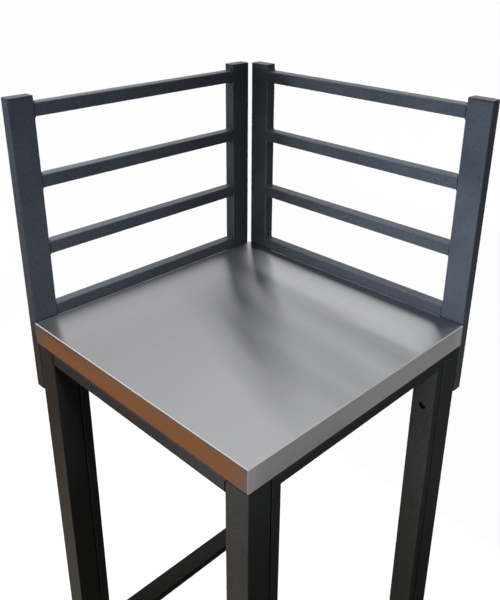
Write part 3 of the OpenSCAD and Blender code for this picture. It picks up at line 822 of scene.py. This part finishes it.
# The corner posts take more of the lighter corner colour, from rubbing and as a painted highlight.
railing_coat, corner_coat = [
    powder_coat(name, RAILING_GREY_AND_SKYLIGHT, RAILING_DUST_AND_SKYLIGHT, RAILING_WORN_AND_HIGHLIT, wear_and_highlight, roughness=0.42, gloss=0.3,
                Dust_amount=0.75, Grime_height=PAINTED_SHADE_HEIGHT, Grime_tone=PAINTED_SHADE_TONE)
    for name, wear_and_highlight in (("railing_coat", 0.2), ("corner_coat", 0.7))]
POSTS = {"left": ("left_railing_front_post", "left_railing_back_post"),
         "right": ("right_railing_outer_post", "right_railing_corner_post")}
dress([n for n in nodes if "_rung_" in n or n.endswith("_post")], railing_coat)
dress([POSTS["left"][1], POSTS["right"][1]], corner_coat)

RUNGS = 4
RUNG_CORNER = 0.002
RUNG_BEAD, RUNG_SHADE_BEAD = (0.0032, 0.0034, 0.0008), (0.0006, 0.0034, 0.0001)
for side, axis in (("left", 1), ("right", 0)):
    across = 1 - axis
    runs, shade_seams = [], []
    for number in range(1, RUNGS + 1):
        low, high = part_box(f"{side}_rung_{number}")
        for end in (low[axis], high[axis]):
            for z in (low.z, high.z):
                first, last = low.copy(), high.copy()
                first[axis] = last[axis] = end
                first.z = last.z = z
                first[across] += BEAD_END_GAP
                last[across] -= BEAD_END_GAP
                runs.append((tuple(first), tuple(last)))
            for face in (low[across], high[across]):
                first, last = low.copy(), high.copy()
                first[axis] = last[axis] = end
                first[across] = last[across] = face
                first.z += RUNG_CORNER
                last.z -= RUNG_CORNER
                shade_seams.append((tuple(first), tuple(last)))
    beads = welds(f"{side}_railing_welds", runs, railing_coat, RUNG_BEAD)
    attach(beads, "module")
    # Near-black beads at the rungs' faces paint the shade in each joint.
    shaded_joints = welds(f"{side}_railing_seams", shade_seams, seam_coat, RUNG_SHADE_BEAD)
    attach(shaded_joints, "module")


# Post caps
# Dark grey polyamide caps, pressed into both ends of every post. The lid is slightly crowned, with a soft
# edge, and a hollow plug below it grips the tube.
cap_plastic = mottled("cap_plastic", (0.026, 0.028, 0.028), dirt=(0.01, 0.01, 0.01), reach=0.002, Contrast=0.3,
                      Cloud_size=90.0, Grain_size=1400.0, Grain_depth=0.00015, Roughness=0.42,
                      Roughness_swing=0.15)
CAP_T = 0.003
CAP_PROFILE = [(0.0037, -0.0002), (0.0037, -0.014), (0.0022, -0.014), (0.0018, -0.0134), (0.0018, 0.0),
               (0.0008, 0.0), (0.0003, 0.0003), (0.0, 0.0007), (0.0, 0.0024), (0.0001, 0.0027),
               (0.0004, 0.0029), (0.0009, 0.00295), (0.0045, 0.00297), (0.0105, CAP_T)]
CAP_CORNER = 0.002
CAP_SHARP = radians(50)


def post_cap(w, d):
    """A cap with the underside of its lid at the origin."""
    rings = []
    for inset, z in CAP_PROFILE:
        corner_r = max(CAP_CORNER - inset, LEAST_CORNER)
        rings.append(round_rectangle(Vector((0, 0)), w / 2 - inset, d / 2 - inset, corner_r, z))
    return finished("post_cap", lofted(bmesh.new(), rings), cap_plastic, CAP_SHARP)


for side, posts in POSTS.items():
    places = []
    for post in posts:
        low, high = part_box(post)
        middle = box_middle(post)
        places.append(((middle.x, middle.y, high.z), (0, 0, 1)))
        places.append(((middle.x, middle.y, low.z), (0, 0, -1)))
    low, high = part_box(posts[0])
    caps = set_out(f"{side}_railing_end_caps", post_cap(high.x - low.x, high.y - low.y), places, cap_plastic)
    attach(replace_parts(caps, f"{side}_railing_caps"), "module")


# Railing fasteners
# Zinc-plated M8 button-head screws hold each post to two rivet nuts in the leg, with a washer under the head
# and a spacer that fills the gap to the leg.
RAILING_BOLT_EDGE, RAILING_BOLT_PITCH = 0.0245, 0.055
RAILING_HEAD_D, RAILING_HEAD_H = 1.75 * THREAD_D, 0.55 * THREAD_D
RAILING_SCREW_LENGTH = 0.040
dress(["railing_washers", "railing_spacers", "railing_rivet_nuts"], zinc_plate)
bolt_low, bolt_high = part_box("railing_bolts")
railing_seats = []
for side, aim in (("left", (1, 0, 0)), ("right", (0, -1, 0))):
    for post in POSTS[side]:
        middle = box_middle(post)
        x = bolt_low.x + RAILING_HEAD_H if side == "left" else middle.x
        y = bolt_high.y - RAILING_HEAD_H if side == "right" else middle.y
        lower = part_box(post)[0].z - CAP_T + RAILING_BOLT_EDGE
        railing_seats += [((x, y, z), aim) for z in (lower, lower + RAILING_BOLT_PITCH)]
screw_part = button_screw(THREAD_D, RAILING_HEAD_D, RAILING_HEAD_H, RAILING_SCREW_LENGTH, DRIVE_FLATS)
screws = set_out("railing_button_screws", screw_part, railing_seats, zinc_plate, HEX_TURN, seed=2)
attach(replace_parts(screws, "railing_bolts"), "module")


# Leg plugs
# Black glass-filled polyamide plugs, driven into the legs' lower ends, with the foot's thread in their boss.
# Only the flange shows.
foot_plastic = mottled("foot_plastic", (0.022, 0.022, 0.023), dirt=(0.06, 0.055, 0.045), reach=0.003,
                       Contrast=0.5, Cloud_size=60.0, Grain_size=1200.0, Grain_depth=0.00015, Roughness=0.5,
                       Roughness_swing=0.2)
dress([n for n in nodes if n.startswith("leg_plug")], foot_plastic)


# Levelling feet
# An M10 threaded stud turns in the plug and is locked by a thin hexagon nut. It stands in a moulded pad with
# stiffening ribs on its cone and a lip round its sole.
NUT_FLATS = 0.017
NUT_SHARP, NUT_MERGE = radians(20), 1e-6
STUD_D = 0.010
THREAD_PITCH = 0.0015
nut_low, nut_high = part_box("foot_lock_nuts")
NUT_T = nut_high.z - nut_low.z


def lock_nut():
    """A thin hexagon nut, chamfered on both faces, standing on the origin."""
    bore = STUD_D / 2 + THREAD_PLAY
    sink_r, sink_depth = bore + 0.0004, 0.0005
    corner_r = NUT_FLATS / 2 / cos(HEX_TURN / 2)
    chamfers = [(NUT_FLATS / 2 * 0.985, 0.0), (NUT_FLATS / 2 * 1.05, 0.0003), (corner_r, 0.0009)]
    rings = [circle(bore, NUT_T - sink_depth), circle(bore, sink_depth), circle(sink_r, 0)]
    rings += [hexagon(NUT_FLATS, z, most) for most, z in chamfers]
    rings += [hexagon(NUT_FLATS, NUT_T - z, most) for most, z in reversed(chamfers)]
    rings += [circle(sink_r, NUT_T), circle(bore, NUT_T - sink_depth)]
    mesh = lofted(bmesh.new(), rings, closed=False)
    bmesh.ops.remove_doubles(mesh, verts=mesh.verts, dist=NUT_MERGE)
    return finished("lock_nut", mesh, zinc_plate, NUT_SHARP)


foot_centres = {foot: box_middle(f"foot_stud_{foot}") for foot in CORNERS}
nut_places = [((centre.x, centre.y, nut_low.z), (0, 0, 1)) for centre in foot_centres.values()]
nuts = set_out("foot_hexagon_nuts", lock_nut(), nut_places, zinc_plate, HEX_TURN, seed=4)
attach(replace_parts(nuts, "foot_lock_nuts"), "module")


def threaded_stud(name, centre, low_z, high_z):
    """A stud whose rings rise and fall along the helix of its thread."""
    around, rings_per_turn = 24, 6
    depth, point = 0.0006, 0.0012
    outer = STUD_D / 2 - THREAD_PLAY
    count = int((high_z - low_z) / THREAD_PITCH * rings_per_turn)
    rings = []
    for ring in range(count + 1):
        z = (high_z - low_z) * ring / count
        ends = min(z, high_z - low_z - z) / point
        points = []
        for i in range(around):
            turn = (z / THREAD_PITCH - i / around) % 1.0
            radius = outer - depth * abs(2 * turn - 1)
            radius = min(radius, outer - depth + depth * ends)
            points.append(Vector((radius * cos(tau * i / around), radius * sin(tau * i / around), z)))
        rings.append(points)
    place = Matrix.Translation((centre.x, centre.y, low_z))
    return finished(name, lofted(bmesh.new(), rings, place), zinc_plate)


def ribbed_pad(name, centre, low_z, high_z):
    """A moulded pad: a sole with a lip, ribs on the cone and a socket for the stud."""
    around, ribs = 96, 12
    rib_depth = 0.0006
    top = high_z - low_z
    sole = [(0.0150, 0.0009), (0.0168, 0.0008), (0.0172, 0.0), (0.0188, 0.0), (0.0196, 0.0004),
            (0.0200, 0.0011), (0.0200, 0.0026), (0.0197, 0.0031), (0.0190, 0.0034)]
    cone = [(0.0184, 0.0035), (0.0132, 0.0056)]
    neck = [(0.0126, 0.0059), (0.0120, top - 0.0004), (0.0115, top), (0.0056, top), (0.0052, top - 0.0004),
            (0.0052, 0.0022)]
    lifts = [rib_depth * max(0.0, cos(tau * i * ribs / around)) ** 0.5 for i in range(around)]
    rings = [circle(radius, z, around) for radius, z in sole]
    for radius, z in cone:
        rings.append([point + Vector((0, 0, lift)) for point, lift in zip(circle(radius, z, around), lifts)])
    rings += [circle(radius, z, around) for radius, z in neck]
    place = Matrix.Translation((centre.x, centre.y, low_z))
    return finished(name, lofted(bmesh.new(), rings, place), foot_plastic)


for foot in CORNERS:
    body = f"foot_{foot}"
    stud_low, stud_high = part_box(f"foot_stud_{foot}")
    stud = threaded_stud(f"threaded_stud_{foot}", foot_centres[foot], stud_low.z, stud_high.z)
    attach(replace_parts(stud, f"foot_stud_{foot}"), body)
    pad_low, pad_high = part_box(f"foot_pad_{foot}")
    pad = ribbed_pad(f"ribbed_pad_{foot}", foot_centres[foot], pad_low.z, pad_high.z)
    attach(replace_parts(pad, f"foot_pad_{foot}"), body)


# Stage
# A pale floor, clear to the camera but for a faint shadow, so that turned-out feet still show. Five glowing
# cards show only in the gloss: a warm one in front, pale ones on the right and behind, and bright ones for the
# patio near the camera and for the daylight on the left.
def stage_plane(name, corners, material):
    """A flat piece of the stage."""
    mesh = bpy.data.meshes.new(name)
    mesh.from_pydata(corners, [], [list(range(len(corners)))])
    mesh.materials.append(material)
    plane = placed(name, mesh)
    plane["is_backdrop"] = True
    return plane


def flat_square(x0, y0, x1, y1, z):
    """The corners of a level rectangle."""
    return [(x0, y0, z), (x1, y0, z), (x1, y1, z), (x0, y1, z)]


def floor_material(pale, shadowed, clear):
    """A pale floor to the object. To the camera it is clear, with a matt share that takes the shadow."""
    material = bpy.data.materials.new("pale_floor")
    tree = emptied(material)
    path = node(tree, "ShaderNodeLightPath")
    matt = node(tree, "ShaderNodeBsdfDiffuse", Color=(*pale, 1)).outputs[0]
    shade = node(tree, "ShaderNodeBsdfDiffuse", Color=(*shadowed, 1)).outputs[0]
    see_through = node(tree, "ShaderNodeBsdfTransparent", Color=(*clear, 1)).outputs[0]
    seen = node(tree, "ShaderNodeAddShader", i0=see_through, i1=shade).outputs[0]
    mix = node(tree, "ShaderNodeMixShader", i0=path.outputs["Is Camera Ray"], i1=matt, i2=seen).outputs[0]
    tree.links.new(mix, node(tree, "ShaderNodeOutputMaterial").inputs["Surface"])
    return material


def card_material(name, colour):
    """A card that glows by itself."""
    material = bpy.data.materials.new(name)
    tree = emptied(material)
    glow = node(tree, "ShaderNodeEmission", Color=(*colour, 1))
    tree.links.new(glow.outputs[0], node(tree, "ShaderNodeOutputMaterial").inputs["Surface"])
    return material


FLOOR_HALF = 30.0
FLOOR_PALE, FLOOR_SHADOWED, FLOOR_CLEAR = (0.42, 0.41, 0.40), (0.8, 0.8, 0.8), (0.9, 0.9, 0.9)
stage_plane("floor", flat_square(-FLOOR_HALF, -FLOOR_HALF, FLOOR_HALF, FLOOR_HALF, 0),
            floor_material(FLOOR_PALE, FLOOR_SHADOWED, FLOOR_CLEAR))
CARD_Z = 0.002
CARD_BROWN, CARD_GREY, CARD_PATIO, CARD_SKY = (0.45, 0.185, 0.066), (0.34, 0.34, 0.335), (2.0,) * 3, (2.8,) * 3
CARD_UPRIGHT = [(-3.6, -0.6, 1.6), (-1.2, -3.4, 1.6), (-1.2, -3.4, 4.2), (-3.6, -0.6, 4.2)]
for name, corners, glow in (("warm_card", flat_square(-3.2, -1.5, 0.5, -0.6, CARD_Z), CARD_BROWN),
                            ("pale_card", flat_square(0.8, -0.2, 1.8, 2.2, CARD_Z), CARD_GREY),
                            ("back_card", flat_square(-2.6, 0.7, 0.7, 3.0, CARD_Z), CARD_GREY),
                            ("patio_card", flat_square(1.3, -3.0, 3.0, -1.3, CARD_Z), CARD_PATIO),
                            ("bright_card", CARD_UPRIGHT, CARD_SKY)):
    card = stage_plane(name, corners, card_material(name, glow))
    card.visible_camera = False
    card.visible_diffuse = False


# Lamps
# Seven small panels, each gridded down to the faces that it lights and left out of the gloss. The sky is dim to
# the object, and white in its gloss and to the camera.
def softbox(name, place, aim, size, power, colour, grid):
    """A panel lamp, gridded down to a cone of so many degrees, that no gloss shows."""
    data = bpy.data.lights.new(name, "AREA")
    data.shape = "RECTANGLE"
    data.size, data.size_y = size
    data.energy = power
    data.color = colour
    data.spread = radians(grid)
    lamp = placed(name, data)
    turn = (Vector(aim) - Vector(place)).to_track_quat("-Z", "Y").to_matrix().to_4x4()
    lamp.matrix_world = Matrix.Translation(place) @ turn
    lamp.visible_glossy = False


COOL, BLUISH, PLAIN, WARM = (0.90, 1.0, 1.18), (0.84, 1.0, 1.25), (1.0, 1.0, 1.0), (1.07, 1.0, 0.92)
for panel in (("rail_panel", (-3.0, -1.2, 1.8), (-0.31, -0.4, 1.35), (0.6, 0.3), 8.5, COOL, 26),
              ("front_panel", (-0.3, -2.6, 0.5), (-0.1, -0.3, 0.05), (1.2, 0.6), 7.0, WARM, 64),
              ("leg_panel", (0.4, -2.4, 1.0), (0.35, -0.3, 0.7), (0.3, 0.3), 0.65, PLAIN, 26),
              ("key_panel", (0.9, -1.9, 1.7), (0.46, 0.29, 1.06), (0.4, 0.4), 1.9, BLUISH, 35),
              ("side_panel", (2.0, -0.5, 1.9), (-0.3, -0.35, 1.1), (0.3, 0.3), 0.95, COOL, 30),
              ("low_panel", (-0.5, -2.3, 0.3), (-0.273, -0.3, 0.3), (0.3, 0.3), 0.6, PLAIN, 26),
              ("back_panel", (-2.2, 2.2, 0.45), (-0.1, 0.1, 0.72), (0.6, 0.6), 6.0, PLAIN, 50)):
    softbox(*panel)

SKY_FILL, SKY_GLOSS, LOW_SKY_GLOSS = 0.12, 0.93, 1.1
SKY_FADE_LOW, SKY_FADE_HIGH = 0.35, 0.6
world = bpy.data.worlds.new("studio")
bpy.context.scene.world = world
tree = emptied(world)
path = node(tree, "ShaderNodeLightPath")
direction = node(tree, "ShaderNodeTexCoord").outputs["Generated"]
up = node(tree, "ShaderNodeSeparateXYZ", Vector=direction).outputs["Z"]
horizon = spread(tree, up, SKY_FADE_LOW, SKY_FADE_HIGH, LOW_SKY_GLOSS, SKY_GLOSS)
glossy = times(tree, path.outputs["Is Glossy Ray"], minus(tree, horizon, SKY_FILL))
seen = times(tree, path.outputs["Is Camera Ray"], 1.0 - SKY_FILL)
strength = plus(tree, plus(tree, glossy, seen), SKY_FILL)
sky = node(tree, "ShaderNodeBackground", Color=(1, 1, 1, 1), Strength=strength)
tree.links.new(sky.outputs[0], node(tree, "ShaderNodeOutputWorld").inputs["Surface"])


# Size of the finished module
low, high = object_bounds()
